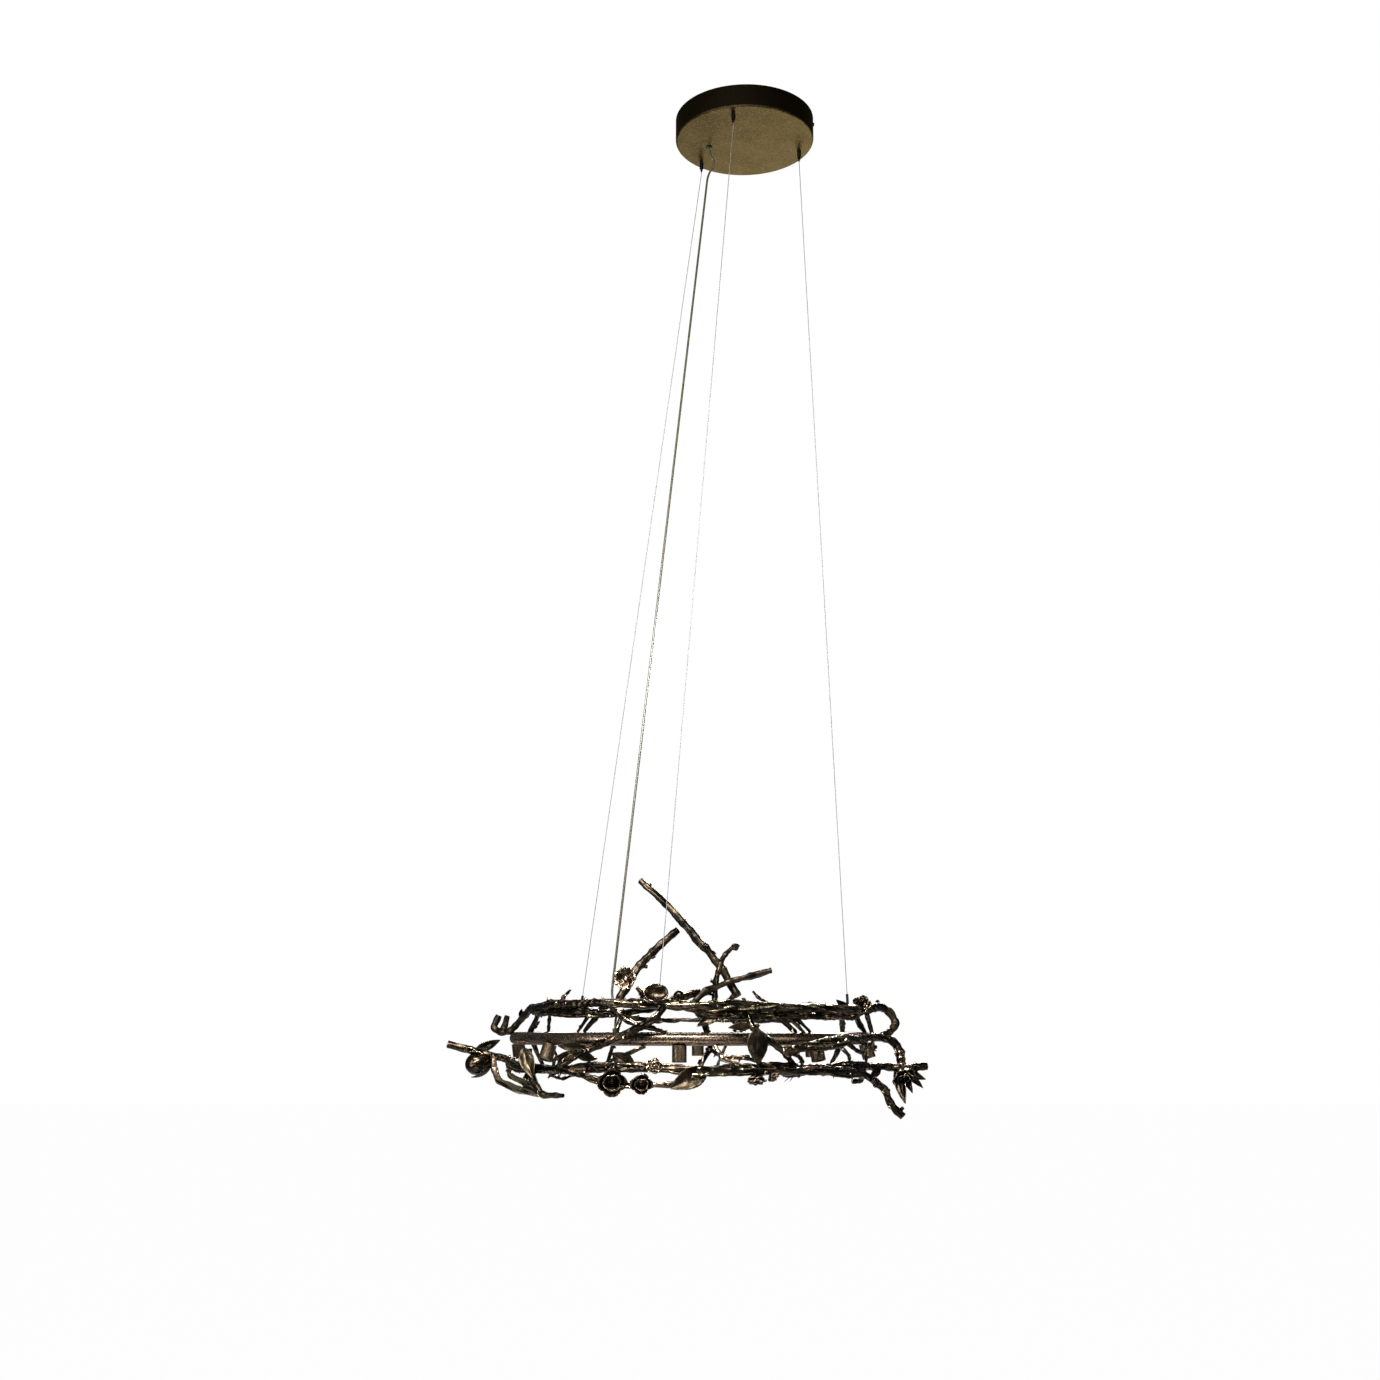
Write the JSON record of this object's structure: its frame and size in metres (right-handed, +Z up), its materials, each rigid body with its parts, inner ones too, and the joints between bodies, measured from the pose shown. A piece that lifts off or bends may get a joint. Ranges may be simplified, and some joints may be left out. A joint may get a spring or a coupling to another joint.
{
  "type": "branch chandelier",
  "caption": "Hanging chandelier: a tube ring with tilting spots, wrapped in cast branches with leaves and flowers, on thin wires and a cord under a round canopy.",
  "frame": {"origin": "centre of the supply entry in the canopy's ceiling face", "axes": "+Z up, along the canopy's axis and square to the ceiling; +X to the right as the chandelier is looked at from its front; +Y away from the viewer"},
  "size_m": [0.93, 0.7345, 2.116],
  "materials": {
    "cast_bronze": "cast, blackened and rubbed back on the high spots",
    "tube_bronze": "smooth tube, dark bronze, fine grain",
    "spot_bronze": "turned, dark bronze",
    "canopy_bronze": "mottled antique bronze, dark sides",
    "plate_steel": "plated",
    "black_metal": "black, satin",
    "wire_steel": "fine stranded wire",
    "cord_jacket": "dark satin jacket",
    "black_plastic": "moulded",
    "driver_case": "moulded",
    "terminal_plastic": "moulded",
    "lens_clear": "clear lens over a pale board"
  },
  "bodies": {
    "chandelier": {"ceiling_plate": "plate_steel", "canopy_shell": "canopy_bronze", "side_screws": "black_metal", "led_driver": "driver_case", "terminal_block": "terminal_plastic", "gripper_bodies": "black_metal", "gripper_nuts": "plate_steel", "canopy_gland": "black_plastic", "ring_tube": "tube_bronze", "ring_gland": "black_plastic", "suspension_wires": "wire_steel", "wire_ferrules": "black_metal", "power_cord": "cord_jacket", "upper_front_branch": "cast_bronze", "upper_second_branch": "cast_bronze", "upper_left_branch": "cast_bronze", "upper_left_under_branch": "cast_bronze", "left_hook_branch": "cast_bronze", "upper_back_left_branch": "cast_bronze", "upper_back_right_branch": "cast_bronze", "lower_front_branch": "cast_bronze", "lower_left_branch": "cast_bronze", "lower_dip_branch": "cast_bronze", "lower_right_branch": "cast_bronze", "lower_back_left_branch": "cast_bronze", "lower_back_right_branch": "cast_bronze", "long_cross_twig": "cast_bronze", "right_hook_branch": "cast_bronze", "right_loop_branch": "cast_bronze", "left_cross_twigs": "cast_bronze", "centre_cross_twigs": "cast_bronze", "right_cross_twigs": "cast_bronze", "back_cross_twigs": "cast_bronze", "left_stem_branch": "cast_bronze", "left_loop_twigs": "cast_bronze", "right_drop_twigs": "cast_bronze", "tall_spray_branch": "cast_bronze", "low_spray_branches": "cast_bronze", "flowers": "cast_bronze", "buds": "cast_bronze", "leaves": "cast_bronze"},
    "spot_1": {"spot_1_housing": "spot_bronze", "spot_1_light": "lens_clear"},
    "spot_2": {"spot_2_housing": "spot_bronze", "spot_2_light": "lens_clear"},
    "spot_3": {"spot_3_housing": "spot_bronze", "spot_3_light": "lens_clear"},
    "spot_4": {"spot_4_housing": "spot_bronze", "spot_4_light": "lens_clear"},
    "spot_5": {"spot_5_housing": "spot_bronze", "spot_5_light": "lens_clear"},
    "spot_6": {"spot_6_housing": "spot_bronze", "spot_6_light": "lens_clear"},
    "spot_7": {"spot_7_housing": "spot_bronze", "spot_7_light": "lens_clear"},
    "spot_8": {"spot_8_housing": "spot_bronze", "spot_8_light": "lens_clear"},
    "plunger_a": {"gripper_plunger_a": "black_metal"},
    "plunger_b": {"gripper_plunger_b": "black_metal"},
    "plunger_c": {"gripper_plunger_c": "black_metal"}
  },
  "joints": [
    {"name": "spot_1_tilt", "type": "hinge", "parent": "chandelier", "child": "spot_1", "pos_m": [0.21953, -0.01779, -1.965], "axis": [-0.0523, -0.9986, 0], "range_deg": [-46, 14]},
    {"name": "spot_2_tilt", "type": "hinge", "parent": "chandelier", "child": "spot_2", "pos_m": [0.13267, 0.2275, -1.965], "axis": [0.6691, -0.7431, 0], "range_deg": [-36, 24]},
    {"name": "spot_3_tilt", "type": "hinge", "parent": "chandelier", "child": "spot_3", "pos_m": [-0.10221, 0.33953, -1.965], "axis": [0.9986, -0.0523, 0], "range_deg": [-30, 30]},
    {"name": "spot_4_tilt", "type": "hinge", "parent": "chandelier", "child": "spot_4", "pos_m": [-0.3475, 0.25267, -1.965], "axis": [0.7431, 0.6691, 0], "range_deg": [-38, 22]},
    {"name": "spot_5_tilt", "type": "hinge", "parent": "chandelier", "child": "spot_5", "pos_m": [-0.45953, 0.01779, -1.965], "axis": [0.0523, 0.9986, 0], "range_deg": [-22, 38]},
    {"name": "spot_6_tilt", "type": "hinge", "parent": "chandelier", "child": "spot_6", "pos_m": [-0.37267, -0.2275, -1.965], "axis": [-0.6691, 0.7431, 0], "range_deg": [-50, 10]},
    {"name": "spot_7_tilt", "type": "hinge", "parent": "chandelier", "child": "spot_7", "pos_m": [-0.13779, -0.33953, -1.965], "axis": [-0.9986, 0.0523, 0], "range_deg": [-33, 27]},
    {"name": "spot_8_tilt", "type": "hinge", "parent": "chandelier", "child": "spot_8", "pos_m": [0.1075, -0.25267, -1.965], "axis": [-0.7431, -0.6691, 0], "range_deg": [-44, 16]},
    {"name": "plunger_a_press", "type": "slide", "parent": "chandelier", "child": "plunger_a", "axis": [0, 0, 1], "range_m": [0, 0.0025], "stiffness_N_per_m": 300, "springref_m": -0.003},
    {"name": "plunger_b_press", "type": "slide", "parent": "chandelier", "child": "plunger_b", "axis": [0, 0, 1], "range_m": [0, 0.0025], "stiffness_N_per_m": 300, "springref_m": -0.003},
    {"name": "plunger_c_press", "type": "slide", "parent": "chandelier", "child": "plunger_c", "axis": [0, 0, 1], "range_m": [0, 0.0025], "stiffness_N_per_m": 300, "springref_m": -0.003}
  ]
}
